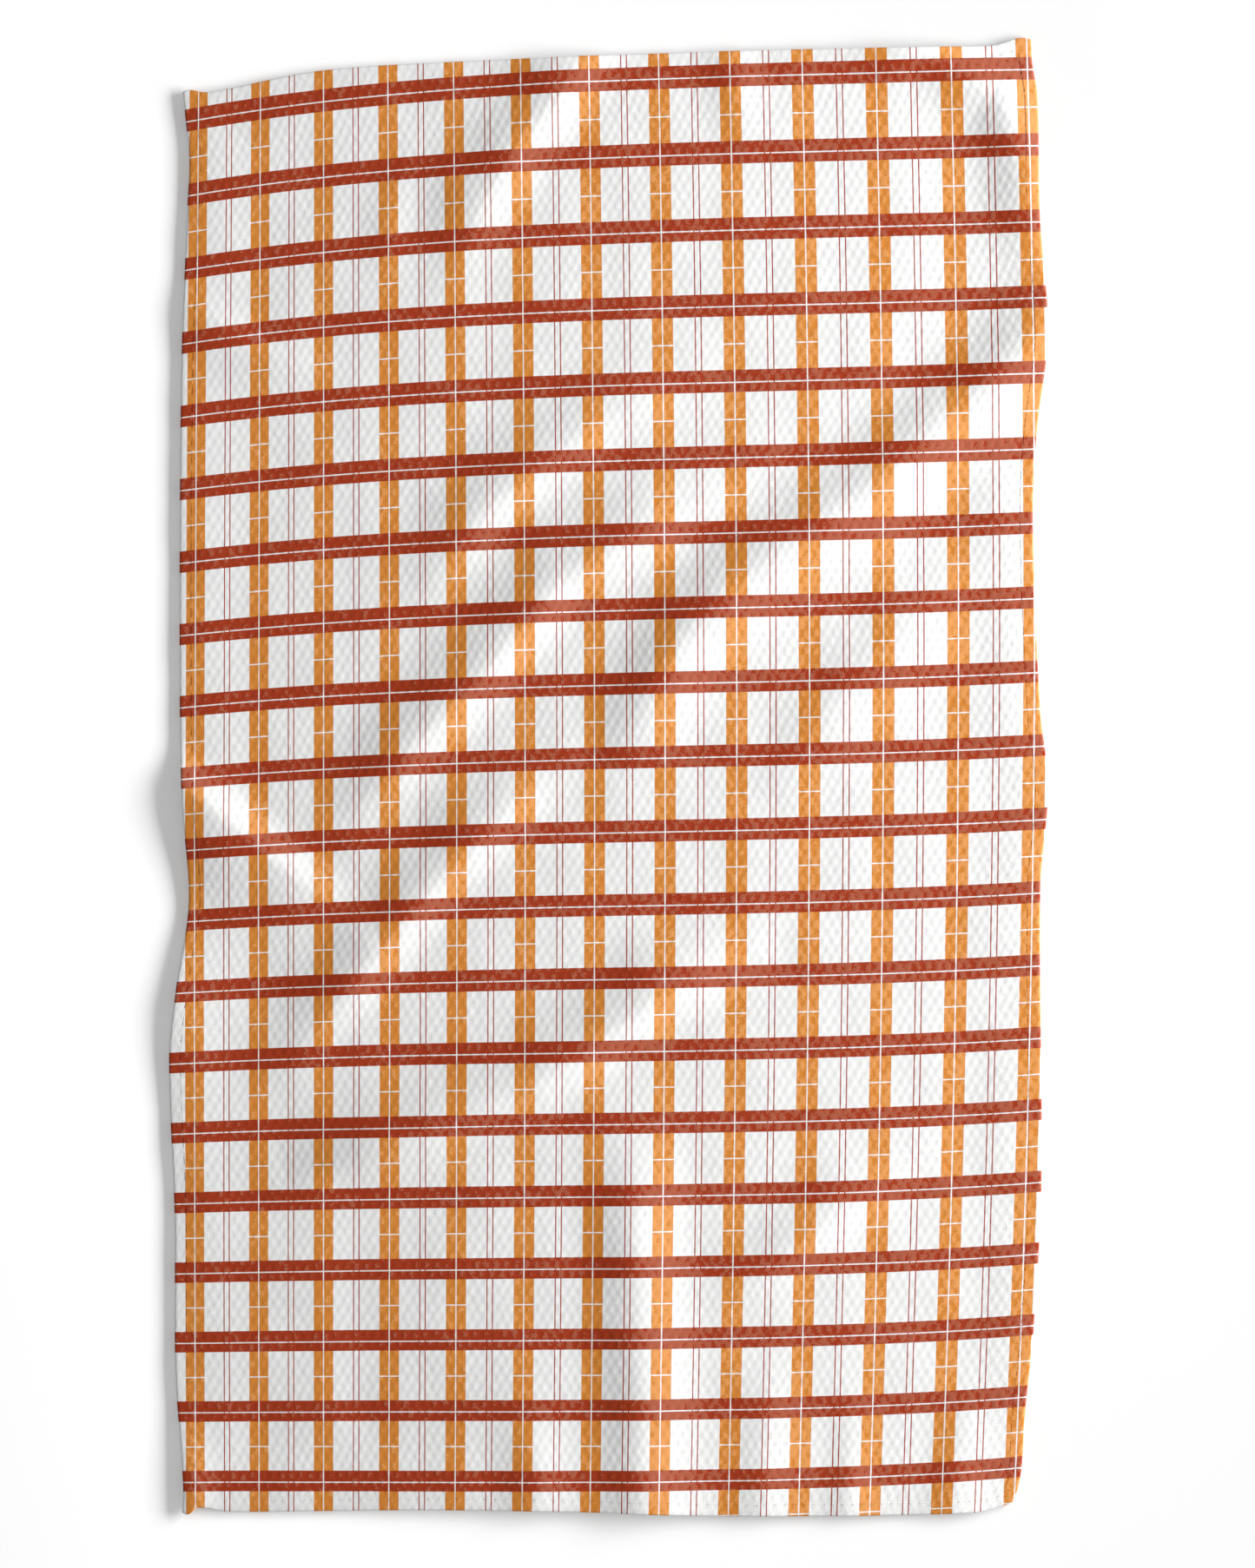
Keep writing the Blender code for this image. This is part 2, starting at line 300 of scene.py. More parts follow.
def fold_lift(x, y, path, height, reach_left, reach_right):
    """One fold: a rounded crest along its path, with its own slope on each side."""
    path = np.array(path) * MM
    widest = max(reach_left, reach_right) * MM
    lift = np.zeros(x.shape)
    near = (x > path[:, 0].min() - widest) & (x < path[:, 0].max() + widest)
    near &= (y > path[:, 1].min() - widest) & (y < path[:, 1].max() + widest)
    x, y = x[near], y[near]
    nearest, signed, place = np.full(x.shape, np.inf), np.zeros(x.shape), np.zeros(x.shape)
    run = 0.0
    for start, end in zip(path, path[1:]):
        step = end - start
        length = np.hypot(*step)
        share = np.clip(((x - start[0]) * step[0] + (y - start[1]) * step[1]) / length**2, 0, 1)
        off_x = x - start[0] - share * step[0]
        off_y = y - start[1] - share * step[1]
        away = np.hypot(off_x, off_y)
        closer = away < nearest
        side = (step[0] * off_y - step[1] * off_x) / length
        nearest = np.where(closer, away, nearest)
        signed = np.where(closer, side, signed)
        place = np.where(closer, run + share * length, place)
        run += length
    lean = smooth_step(0.5 + signed / FOLD_CREST_BLEND)
    reach = (reach_right + (reach_left - reach_right) * lean) * MM
    share = np.clip(nearest / reach, 0, 1)
    crest = (1 - share) ** 3 * (1 + 3 * share)
    fade = smooth_step(np.minimum(place, run - place) / FOLD_FADE + FOLD_END)
    lift[near] = height * MM * fade * crest
    return lift


def ripples(x, y):
    """A faint, even unevenness: seeded waves of many directions."""
    dice = np.random.default_rng(RIPPLE_SEED)
    total = np.zeros(x.shape)
    for _ in range(RIPPLES):
        wave = 2 * np.pi / dice.uniform(*RIPPLE_LENGTHS)
        heading, phase = dice.uniform(0, 2 * np.pi, 2)
        total += np.sin(wave * (x * np.cos(heading) + y * np.sin(heading)) + phase)
    return RIPPLE_HEIGHT * total / math.sqrt(RIPPLES)


def drape(x, y):
    """How far the cloth is lifted off the surface by its folds and ripples."""
    lift = sum(fold_lift(x, y, *fold) for fold in FOLDS.values())
    return np.maximum(lift + ripples(x, y) + RIPPLE_BASE, 0.0)


def painted_highlight_towards_key(x, y):
    """A painted highlight: how much paler the print is painted on slopes that face the key light, and
    more so towards the towel's right, the key light's side.
    """
    turn = math.radians(KEY_AZIMUTH)
    step_x, step_y = SLOPE_STEP * math.cos(turn), SLOPE_STEP * math.sin(turn)
    fall = drape(x - step_x, y - step_y) - drape(x + step_x, y + step_y)
    return PAINTED_HIGHLIGHT_BY_SLOPE * fall / (2 * SLOPE_STEP) + PAINTED_HIGHLIGHT_BY_X * x


def label_lift(x, y):
    """How far the panel rides up where it lies over the care label."""
    lowest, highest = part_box("care_label")
    beyond_x = x - highest.x - LABEL_ROOM_REACH
    beyond_y = np.maximum(y - highest.y, lowest.y - y) - LABEL_ROOM_REACH
    away = np.maximum(np.maximum(beyond_x, beyond_y), 0)
    return LABEL_ROOM * (1 - smooth_step(away / LABEL_ROOM_FADE))


def inset_of(across, along):
    """How far inside the nearest edge a point is."""
    from_sides = np.minimum(across, 1 - across) * 2 * HALF_WIDTH
    from_ends = np.minimum(along, 1 - along) * 2 * HALF_LENGTH
    return np.minimum(from_sides, from_ends)


def face_height(across, along):
    """The height of the printed face, before the waffle."""
    x, y = cloth_spot(across, along)
    margin = 1 - smooth_step((inset_of(across, along) - MARGIN_WIDTH) / MARGIN_FADE)
    level = CLOTH_THICK + label_lift(x, y)
    return drape(x, y) + level + (MARGIN_TOP - level) * margin


def back_height(across, along):
    """The height of the panel's plain back."""
    margin = 1 - smooth_step((inset_of(across, along) - MARGIN_WIDTH) / BACK_FADE)
    return face_height(across, along) - CLOTH_THICK + (CLOTH_THICK - MARGIN_THICK) * margin


def waffle(across, along):
    """The weave's relief, from -1 in the hollows to 1 on the cells."""
    cell = np.cos(2 * np.pi * across * CELLS_ACROSS) * np.cos(np.pi * along * CELL_ROWS)
    return np.sign(cell) * np.abs(cell) ** CELL_ROUNDNESS


def print_place(x, y):
    """Which column band and which row band a point is at, as whole numbers at the bands' middles."""
    bow = BOW_GROWTH * (x - BOW_STRAIGHT_X) * (y - BOW_MIDDLE_Y - BOW_MIDDLE_LEAN * x) ** 2
    run = x + bow - COLUMN_START
    column_root = np.sqrt(COLUMN_PITCH**2 + 4 * COLUMN_GROWTH * run)
    column = (column_root - COLUMN_PITCH) / (2 * COLUMN_GROWTH)
    u = np.clip((x - PRINT_LEFT) / PRINT_WIDTH, -PRINT_SPARE, 1 + PRINT_SPARE)
    at_top = TOP_DROP_LEFT * (1 - u) ** TOP_DROP_POWER - TOP_RISE_RIGHT * u
    at_foot = -FOOT_RISE_RIGHT * np.abs(u) ** FOOT_RISE_POWER
    row = np.zeros(x.shape)
    for _ in range(ROW_ROUNDS):
        down = np.clip(row / LAST_ROW, 0, 1)
        fall = ROW_START - y - at_top * (1 - down) ** TOP_FADE_POWER - at_foot * down
        row_root = np.sqrt(np.maximum(ROW_PITCH**2 - 4 * ROW_GROWTH * fall, 0))
        row = (ROW_PITCH - row_root) / (2 * ROW_GROWTH)
    return column, row


def place_points(across, along, height):
    """Points at fractions of the printed face, which starts a little inside the outline."""
    shrink_across = FACE_INSET / (2 * HALF_WIDTH)
    shrink_along = FACE_INSET / (2 * HALF_LENGTH)
    x, y = cloth_spot(
        shrink_across + across * (1 - 2 * shrink_across),
        shrink_along + along * (1 - 2 * shrink_along),
    )
    return np.stack([x, y, height], axis=-1)


def fraction_grid(columns, rows):
    """Arrays of the fractions across and along at every corner of an even grid, row by row."""
    across, along = np.meshgrid(np.linspace(0, 1, columns + 1), np.linspace(0, 1, rows + 1))
    return across.ravel(), along.ravel()


def grid_quads(columns, rows, first=0, flipped=False):
    """The grid's faces, facing up, or down if flipped."""
    column, row = np.meshgrid(np.arange(columns), np.arange(rows))
    corner = first + (row * (columns + 1) + column).ravel()
    quads = np.stack([corner, corner + 1, corner + columns + 2, corner + columns + 1], axis=1)
    return quads[:, ::-1].tolist() if flipped else quads.tolist()


def grid_rim(columns, rows, first=0):
    """The numbers of the grid's outermost points, once round anticlockwise from the lower left."""
    wide = columns + 1
    bottom = np.arange(columns)
    right = columns + wide * np.arange(rows)
    top = wide * rows + np.arange(columns, 0, -1)
    left = wide * np.arange(rows, 0, -1)
    return first + np.concatenate([bottom, right, top, left])


def ring_quads(outer, inner):
    """Faces between two rings of as many points."""
    after_outer, after_inner = np.roll(outer, -1), np.roll(inner, -1)
    return np.stack([outer, after_outer, after_inner, inner], axis=1).tolist()


def outward(points):
    """Level unit vectors that point out of a closed anticlockwise ring."""
    run = np.roll(points, -1, axis=0) - np.roll(points, 1, axis=0)
    out = np.stack([run[:, 1], -run[:, 0]], axis=1)
    return out / np.linalg.norm(out, axis=1, keepdims=True)


def new_object(name, points, faces, materials):
    mesh = bpy.data.meshes.new(name)
    mesh.from_pydata(np.asarray(points, float).tolist(), [], faces)
    mesh.shade_smooth()
    for finish in materials:
        mesh.materials.append(finish)
    made = bpy.data.objects.new(name, mesh)
    bpy.context.scene.collection.objects.link(made)
    return made


def corner_points(mesh):
    """The point number at each face corner of a mesh."""
    numbers = np.empty(len(mesh.loops), np.int32)
    mesh.loops.foreach_get("vertex_index", numbers)
    return numbers


def add_uv(mesh, name, values):
    """A UV map from one (u, v) pair for each face corner."""
    layer = mesh.uv_layers.new(name=name)
    layer.data.foreach_set("uv", np.asarray(values, np.float32).ravel())


def roll_rings(edge, edge_fractions):
    """The rolled edge's rings: each one's points, and their fractions of the cloth."""
    out = outward(edge)
    for reach, drop in ROLL:
        ring = edge.copy()
        ring[:, :2] += reach * MM * out
        ring[:, 2] -= drop * MM
        grown = (reach + drop) * MM * out / (2 * np.array([HALF_WIDTH, HALF_LENGTH]))
        yield ring, edge_fractions + grown


def back_faces(columns, rows, first, ring):
    """The plain back's faces, with those that join its rim to a ring of twice as many points."""
    rim = grid_rim(columns, rows, first)
    after = np.roll(rim, -1)
    corner, middle, after_corner = ring[::2], ring[1::2], np.roll(ring[::2], -1)
    joining = np.stack([rim, after, after_corner, middle, corner], axis=1)[:, ::-1].tolist()
    return joining + grid_quads(columns, rows, first, flipped=True)


def bake_spots(fractions, on_back):
    """Where the panel's faces go on its baked map: the face takes most of it, the back the rest."""
    along = BAKE_EDGE + fractions[:, 1] * (1 - 2 * BAKE_EDGE)
    front = BAKE_EDGE + fractions[:, 0] * (BAKE_FRONT - 2 * BAKE_EDGE)
    back = BAKE_FRONT + BAKE_EDGE + fractions[:, 0] * (1 - BAKE_FRONT - 2 * BAKE_EDGE)
    return np.stack([along, np.where(on_back, back, front)], axis=1)


def map_cloth(mesh, points, fractions, is_back):
    """The cloth's maps: its place in the plaid and in the weave, the painted highlight on its slopes
    that face the key light, and its baked map.
    """
    face_size = np.empty(len(mesh.polygons), np.int32)
    mesh.polygons.foreach_get("loop_total", face_size)
    on_back = np.repeat(is_back, face_size)
    corners = corner_points(mesh)
    add_uv(mesh, "plaid", np.stack(print_place(points[:, 0], points[:, 1]), axis=1)[corners])
    add_uv(mesh, "weave", (fractions * [CELLS_ACROSS, CELL_ROWS])[corners])
    # Painted highlight: how much paler the print is painted where the cloth faces the key light.
    painted_highlight = painted_highlight_towards_key(points[:, 0], points[:, 1])
    add_uv(mesh, "painted_highlight_uv", np.stack([painted_highlight, np.zeros(len(painted_highlight))], axis=1)[corners])
    add_uv(mesh, "OFBake", bake_spots(fractions[corners], on_back))


def make_cloth(printed, plain):
    """The panel: its printed face, its rolled edge and its plain back, as one closed sheet."""
    columns, rows = CELLS_ACROSS * STEPS_PER_CELL, CELL_ROWS * STEPS_PER_ROW
    across, along = fraction_grid(columns, rows)
    smooth = face_height(across, along)
    pressed = 1 - smooth_step((inset_of(across, along) - PRESSED_INSET) / MARGIN_WIDTH)
    relief = WAFFLE_RELIEF * (1 - (1 - PRESSED_RELIEF) * pressed)
    face = place_points(across, along, smooth + relief * waffle(across, along))
    points, fractions = [face], [np.stack([across, along], axis=1)]
    faces = grid_quads(columns, rows)

    ring = grid_rim(columns, rows)
    edge, edge_fractions = face[ring], fractions[0][ring]
    edge[:, 2] = smooth[ring]
    total = len(face)
    for ring_points, ring_fractions in roll_rings(edge, edge_fractions):
        points.append(ring_points)
        fractions.append(ring_fractions)
        numbers = total + np.arange(len(ring))
        faces += ring_quads(numbers, ring)
        ring = numbers
        total += len(ring)
    front_faces = len(faces)

    columns, rows = columns // 2, rows // 2
    across, along = fraction_grid(columns, rows)
    hollow = BACK_RELIEF * (1 + waffle(across, along)) / 2
    points.append(place_points(across, along, back_height(across, along) + hollow))
    fractions.append(np.stack([across, along], axis=1))
    faces += back_faces(columns, rows, total, ring)

    points = np.concatenate(points)
    cloth = new_object("towel_cloth", points, faces, [printed, plain])
    is_back = np.arange(len(faces)) >= front_faces
    cloth.data.polygons.foreach_set("material_index", is_back.astype(np.int32))
    map_cloth(cloth.data, points, np.concatenate(fractions), is_back)
    return cloth


def side_fractions(side, station, inset):
    """The fractions (across, along) of points at stations of one edge, this far inside it."""
    station, inset = np.broadcast_arrays(station, inset)
    return {
        "left": (inset / (2 * HALF_WIDTH), station),
        "right": (1 - inset / (2 * HALF_WIDTH), station),
        "bottom": (station, inset / (2 * HALF_LENGTH)),
        "top": (station, 1 - inset / (2 * HALF_LENGTH)),
    }[side]


def side_length(side):
    return 2 * HALF_LENGTH if side in ("left", "right") else 2 * HALF_WIDTH


def side_stations(side, spacing, clear_of_corner):
    """Even fractions along one edge, from and to this far from its corners."""
    start = clear_of_corner / side_length(side)
    count = round(side_length(side) / spacing)
    return np.linspace(start, 1 - start, count + 1)


def tube_faces(rings, sides, first=0):
    """The faces along a tube of rings of points, with both its ends closed."""
    faces = []
    for ring in range(rings - 1):
        low = first + ring * sides + np.arange(sides)
        faces += ring_quads(low, low + sides)
    last = first + (rings - 1) * sides
    faces.append(list(range(first, first + sides))[::-1])
    faces.append(list(range(last, last + sides)))
    return faces


def tube_points(centre, radius, sides):
    """Rings of points round each point of a path."""
    turns = np.linspace(0, 2 * np.pi, sides, endpoint=False)[None, :, None]
    run = np.gradient(centre, axis=0)
    beside = np.stack([-run[:, 1], run[:, 0], np.zeros(len(run))], axis=1)
    beside /= np.linalg.norm(beside, axis=1, keepdims=True)
    up = np.cross(run, beside)
    up /= np.linalg.norm(up, axis=1, keepdims=True)
    ring = beside[:, None] * np.cos(turns) + up[:, None] * np.sin(turns)
    return (centre[:, None] + radius * ring).reshape(-1, 3)


def make_hem(side, plain):
    """One turned-back margin, a soft flat strip under the panel's edge."""
    ends = HEM_ENDS if side in ("left", "right") else HEM_WIDTH + LAYER_GAP
    stations = side_stations(side, HEM_STEP, ends)
    turns = np.linspace(0, 2 * np.pi, HEM_SIDES, endpoint=False)
    half_width, half_thick = (HEM_WIDTH - HEM_INSET) / 2, HEM_THICK / 2
    wide = np.sign(np.cos(turns)) * np.abs(np.cos(turns)) ** HEM_CORNER
    tall = np.sign(np.sin(turns)) * np.abs(np.sin(turns)) ** (2 * HEM_CORNER)
    inset = HEM_INSET + half_width * (1 + wide)
    points, weave = [], []
    for station in stations:
        across, along = side_fractions(side, station, inset)
        x, y = cloth_spot(across, along)
        cells = waffle(across, along) * (tall < 0) * HEM_RELIEF
        height = drape(x, y) + HEM_UNDERSIDE + half_thick * (1 + tall) - cells * np.abs(tall)
        points.append(np.stack([x, y, height], axis=1))
        weave.append(np.stack([across * CELLS_ACROSS, along * CELL_ROWS], axis=1))
    faces = tube_faces(len(stations), HEM_SIDES)
    if side in ("left", "top"):  # where the rings turn the other way about the hem's run
        faces = [face[::-1] for face in faces]
    hem = new_object(f"towel_hem_{side}", np.concatenate(points), faces, [plain])
    add_uv(hem.data, "weave", np.concatenate(weave)[corner_points(hem.data)])
    return hem


def make_stitches(side, on_face, finish):
    """One seam's row of stitches: a short arch of thread for each, dipping in at both ends."""
    length = side_length(side)
    ends = SEAM_INSET + STITCH_LENGTH / 2
    count = round((length - 2 * ends) / STITCH_LENGTH)
    starts = np.linspace(ends, length - ends, count + 1)[:-1]
    pitch = (length - 2 * ends) / count
    if not on_face:
        starts = starts + pitch / 2
    steps = np.linspace(0, 1, STITCH_STEPS + 1)
    showing = (1 - STITCH_SHOWING) / 2 + STITCH_SHOWING * steps
    arch = STITCH_RISE * np.sin(np.pi * steps) ** STITCH_ROUNDNESS - STITCH_SINK
    points, faces = [], []
    for number, start in enumerate(starts):
        across, along = side_fractions(side, (start + pitch * showing) / length, SEAM_INSET)
        x, y = cloth_spot(across, along)
        if on_face:
            z = face_height(across, along) + STITCH_RADIUS * arch
        else:
            z = drape(x, y) + HEM_UNDERSIDE - STITCH_RADIUS * arch
        points.append(tube_points(np.stack([x, y, z], axis=1), STITCH_RADIUS, STITCH_SIDES))
        faces += tube_faces(len(steps), STITCH_SIDES, number * len(steps) * STITCH_SIDES)
    points = np.concatenate(points)
    kind = "needle" if on_face else "bobbin"
    row = new_object(f"{kind}_stitches_{side}", points, faces, [finish])
    places = np.stack(print_place(points[:, 0], points[:, 1]), axis=1)
    add_uv(row.data, "plaid", places[corner_points(row.data)])
    return row


def make_label(satin):
    """The blank care label: a ribbon folded in two, its ends caught in the left hem's seam."""
    lowest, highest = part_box("care_label")
    length, width = highest.x - lowest.x, highest.y - lowest.y
    spread = (highest.z - lowest.z - LABEL_LAYER) / 2
    half, flat = np.linspace(0, length, LABEL_STEPS + 1), np.ones(LABEL_STEPS + 1)
    turn = np.linspace(0, np.pi, LABEL_FOLD_STEPS + 2)[1:-1]
    run = np.concatenate([half, length + spread * np.sin(turn), half[::-1]])
    rise = spread * np.concatenate([flat, np.cos(turn), -flat])
    side = np.linspace(0, 1, LABEL_SIDES + 1)
    run_grid, side_grid = np.meshgrid(run, side)
    rise_grid = np.meshgrid(rise, side)[0]
    loose = smooth_step(run_grid / length)
    wave = LABEL_SWAY_TURN * run_grid / length + LABEL_SWAY_SKEW * side_grid
    points = np.stack([
        lowest.x + run_grid,
        lowest.y + width * side_grid + LABEL_DRIFT * loose,
        (lowest.z + highest.z) / 2 + rise_grid + LABEL_SWAY * loose * np.sin(wave),
    ], axis=-1).reshape(-1, 3)
    label = new_object("care_label_ribbon", points, grid_quads(len(run) - 1, LABEL_SIDES), [satin])
    along_ribbon = np.meshgrid(np.linspace(0, 1, len(run)), side)[0]
    places = np.stack([along_ribbon, side_grid], axis=-1).reshape(-1, 2)
    add_uv(label.data, "ribbon", places[corner_points(label.data)])
    thicken = label.modifiers.new("layer", "SOLIDIFY")
    thicken.thickness = LABEL_LAYER
    thicken.offset = 0
    return label


class Nodes:
    """Short ways to add and join a material's shader nodes."""

    def __init__(self, tree):
        self.tree = tree

    def add(self, kind, *values, **settings):
        node = self.tree.nodes.new(kind)
        for name, value in settings.items():
            setattr(node, name, value)
        for socket, value in zip(node.inputs, values):
            self.give(socket, value)
        return node

    def give(self, socket, value):
        if isinstance(value, bpy.types.NodeSocket):
            self.tree.links.new(value, socket)
        elif value is not None:
            socket.default_value = value

    def math(self, operation, *values):
        return self.add("ShaderNodeMath", *values, operation=operation).outputs[0]

    def remap(self, value, low, high, to_low=0.0, to_high=1.0, kind="SMOOTHSTEP"):
        node = self.add("ShaderNodeMapRange", interpolation_type=kind)
        sockets = ("Value", "From Min", "From Max", "To Min", "To Max")
        for name, given in zip(sockets, (value, low, high, to_low, to_high)):
            self.give(node.inputs[name], given)
        return node.outputs["Result"]

    def mix(self, factor, below, above, blend="MIX"):
        node = self.add("ShaderNodeMix", data_type="RGBA", blend_type=blend)
        for name, given in (("Factor_Float", factor), ("A_Color", below), ("B_Color", above)):
            socket = next(s for s in node.inputs if s.identifier == name)
            self.give(socket, (*given, 1.0) if isinstance(given, tuple) else given)
        return next(s for s in node.outputs if s.identifier == "Result_Color")

    def uv(self, name):
        where = self.add("ShaderNodeUVMap", uv_map=name).outputs[0]
        parts = self.add("ShaderNodeSeparateXYZ", where)
        return parts.outputs[0], parts.outputs[1]

    def noise(self, where, scale, detail=2.0, rough=0.5):
        node = self.add("ShaderNodeTexNoise", noise_dimensions="3D")
        self.give(node.inputs["Vector"], where)
        self.give(node.inputs["Scale"], scale)
        self.give(node.inputs["Detail"], detail)
        self.give(node.inputs["Roughness"], rough)
        return node.outputs["Fac"]

    def place(self):
        return self.add("ShaderNodeTexCoord").outputs["Object"]

    def bump(self, shader, height, depth, strength):
        """Raises the shader's surface by this height, which is for shading only."""
        node = self.add("ShaderNodeBump")
        node.inputs["Strength"].default_value = strength
        node.inputs["Distance"].default_value = depth
        self.give(node.inputs["Height"], height)
        self.give(shader.inputs["Normal"], node.outputs["Normal"])


def new_material(name, roughness, specular, sheen=0.0):
    """A material, its node builder and its shader."""
    made = bpy.data.materials.new(name)
    made.use_nodes = True
    shader = made.node_tree.nodes["Principled BSDF"]
    shader.inputs["Roughness"].default_value = roughness
    shader.inputs["Specular IOR Level"].default_value = specular
    shader.inputs["Sheen Weight"].default_value = sheen
    return made, Nodes(made.node_tree), shader


def stripe(nodes, distance, half):
    """1 within half a stripe's width of its middle, with a slightly soft edge."""
    return nodes.remap(distance, half - PRINT_BLUR, half + PRINT_BLUR, 1.0, 0.0, kind="LINEAR")


def off_whole(nodes, value):
    """How far a number is from the nearest whole one."""
    return nodes.math("ABSOLUTE", nodes.math("SUBTRACT", value, nodes.math("ROUND", value)))


def off_half(nodes, value):
    """How far a number is from the nearest odd half."""
    return nodes.math("SUBTRACT", 0.5, off_whole(nodes, value))


def printed_colour(nodes):
    """The plaid, from the print's own coordinates."""
    column, row = nodes.uv("plaid")
    over_column = off_whole(nodes, column)
    orange_band = stripe(nodes, over_column, BAND_HALF)
    rust_band = stripe(nodes, off_whole(nodes, row), BAND_HALF)
    from_pair = nodes.math("ABSOLUTE", nodes.math("SUBTRACT", off_half(nodes, column), PAIR_OFFSET))
    pair = stripe(nodes, from_pair, PAIR_HALF)
    column_line = stripe(nodes, over_column, LINE_HALF)
    between_rows = stripe(nodes, off_half(nodes, nodes.math("SUBTRACT", row, TIE_OFFSET)), LINE_HALF)
    in_row = stripe(nodes, off_whole(nodes, nodes.math("SUBTRACT", row, ROW_LINE_OFFSET)), LINE_HALF)
    colour = nodes.mix(pair, WHITE, RUST)
    colour = nodes.mix(orange_band, colour, ORANGE)
    colour = nodes.mix(nodes.math("MULTIPLY", between_rows, orange_band), colour, LINE_WHITE)
    colour = nodes.mix(rust_band, colour, RUST)
    unbroken = nodes.math("MULTIPLY", in_row, nodes.math("SUBTRACT", 1.0, pair))
    colour = nodes.mix(unbroken, colour, LINE_WHITE)
    return nodes.mix(column_line, colour, LINE_WHITE)


def feather(nodes, across, along):
    """Waves that fan out from each cell's middle line, as its yarns do."""
    fan = nodes.math("MULTIPLY", off_whole(nodes, across), 2 * YARNS_PER_CELL)
    turns = nodes.math("ADD", fan, nodes.math("MULTIPLY", along, YARNS_PER_ROW))
    return nodes.math("SINE", nodes.math("MULTIPLY", turns, 2 * math.pi))


def wool(nodes, shader, colour, pale_and_highlight_share, strength, painted_highlight=0.0):
    """Ends a cloth material: woolly mottling in its colour, its roughness and its surface, with any
    painted highlight given for the lit side added to the pale patches.
    """
    where = nodes.place()
    noise = nodes.math("ADD", nodes.noise(where, *FINE_NOISE), nodes.noise(where, *COARSE_NOISE))
    across, along = nodes.uv("weave")
    cell = nodes.math(
        "MULTIPLY",
        nodes.math("COSINE", nodes.math("MULTIPLY", across, 2 * math.pi)),
        nodes.math("COSINE", nodes.math("MULTIPLY", along, math.pi)),
    )
    yarns = feather(nodes, across, along)
    mottle = nodes.math("ADD", nodes.math("MULTIPLY", cell, CELL_SHARE), noise)
    mottle = nodes.math("ADD", mottle, nodes.math("MULTIPLY", yarns, YARN_SHARE))
    # Pale patches: paler print on the raised yarns, plus painted highlight on slopes that face the key
    # light.
    pale_and_highlight_mask = nodes.remap(nodes.math("ADD", mottle, painted_highlight), PALER_FROM, PALER_TO)
    pale_and_highlight_colour = nodes.mix(1.0, colour, LIGHTER, blend="MULTIPLY")
    pale_and_highlight_colour = nodes.mix(1.0, pale_and_highlight_colour, LIGHTER_TINT, blend="ADD")
    pale_and_highlight_colour = nodes.mix(1.0, pale_and_highlight_colour, LIGHTEST, blend="DARKEN")
    shown = nodes.mix(nodes.math("MULTIPLY", pale_and_highlight_mask, pale_and_highlight_share), colour, pale_and_highlight_colour)
    nodes.give(shader.inputs["Base Color"], shown)
    roughness = nodes.remap(pale_and_highlight_mask, 0.0, 1.0, WOOL_ROUGH, WOOL_SMOOTH)
    nodes.give(shader.inputs["Roughness"], roughness)
    height = nodes.math("ADD", nodes.math("MULTIPLY", yarns, YARN_BUMP), noise)
    nodes.bump(shader, height, WOOL_DEPTH, strength)


def printed_cloth():
    made, nodes, shader = new_material("printed_cloth", roughness=0.5, specular=0.25)
    # Painted highlight: the print is painted paler where the cloth slopes towards the key light.
    painted_highlight = nodes.uv("painted_highlight_uv")[0]
    wool(nodes, shader, printed_colour(nodes), pale_and_highlight_share=0.85, strength=0.5, painted_highlight=painted_highlight)
    return made


def plain_cloth(name):
    made, nodes, shader = new_material(name, roughness=0.6, specular=0.4, sheen=0.05)
    white = nodes.mix(nodes.noise(nodes.place(), CLOUD_SCALE), PLAIN_WHITE, WHITE)
    wool(nodes, shader, white, pale_and_highlight_share=0.3, strength=0.6)
    return made


def twist(nodes, shader):
    """The plies of a sewing thread, as slanting grooves."""
    wave = nodes.add("ShaderNodeTexWave", wave_type="BANDS", bands_direction="DIAGONAL")
    nodes.give(wave.inputs["Vector"], nodes.place())
    nodes.give(wave.inputs["Scale"], TWIST_SCALE)
    nodes.bump(shader, wave.outputs["Fac"], TWIST_DEPTH, TWIST_STRENGTH)


def printed_thread():
    made, nodes, shader = new_material("printed_thread", roughness=0.5, specular=0.4)
    nodes.give(shader.inputs["Base Color"], printed_colour(nodes))
    twist(nodes, shader)
    return made


def white_thread():
    made, nodes, shader = new_material("white_thread", roughness=0.45, specular=0.5)
    tone = nodes.mix(nodes.noise(nodes.place(), THREAD_NOISE), THREAD_WHITE, WHITE)
    nodes.give(shader.inputs["Base Color"], tone)
    twist(nodes, shader)
    return made


def label_satin():
    made, nodes, shader = new_material("label_satin", roughness=0.32, specular=0.6)
    run, side = nodes.uv("ribbon")
    ribs = nodes.math("SINE", nodes.math("MULTIPLY", run, 2 * math.pi * SATIN_RIBS))
    off_middle = nodes.math("ABSOLUTE", nodes.math("SUBTRACT", side, 0.5))
    selvedge = nodes.remap(off_middle, *SELVEDGE)
    tone = nodes.mix(nodes.noise(nodes.place(), SATIN_NOISE), SATIN, SATIN_SHADE)
    nodes.give(shader.inputs["Base Color"], nodes.mix(selvedge, tone, SATIN_SHADE))
    height = nodes.math("ADD", nodes.math("MULTIPLY", ribs, SATIN_RIB_SHARE), selvedge)
    nodes.bump(shader, height, SATIN_DEPTH, SATIN_STRENGTH)
    return made


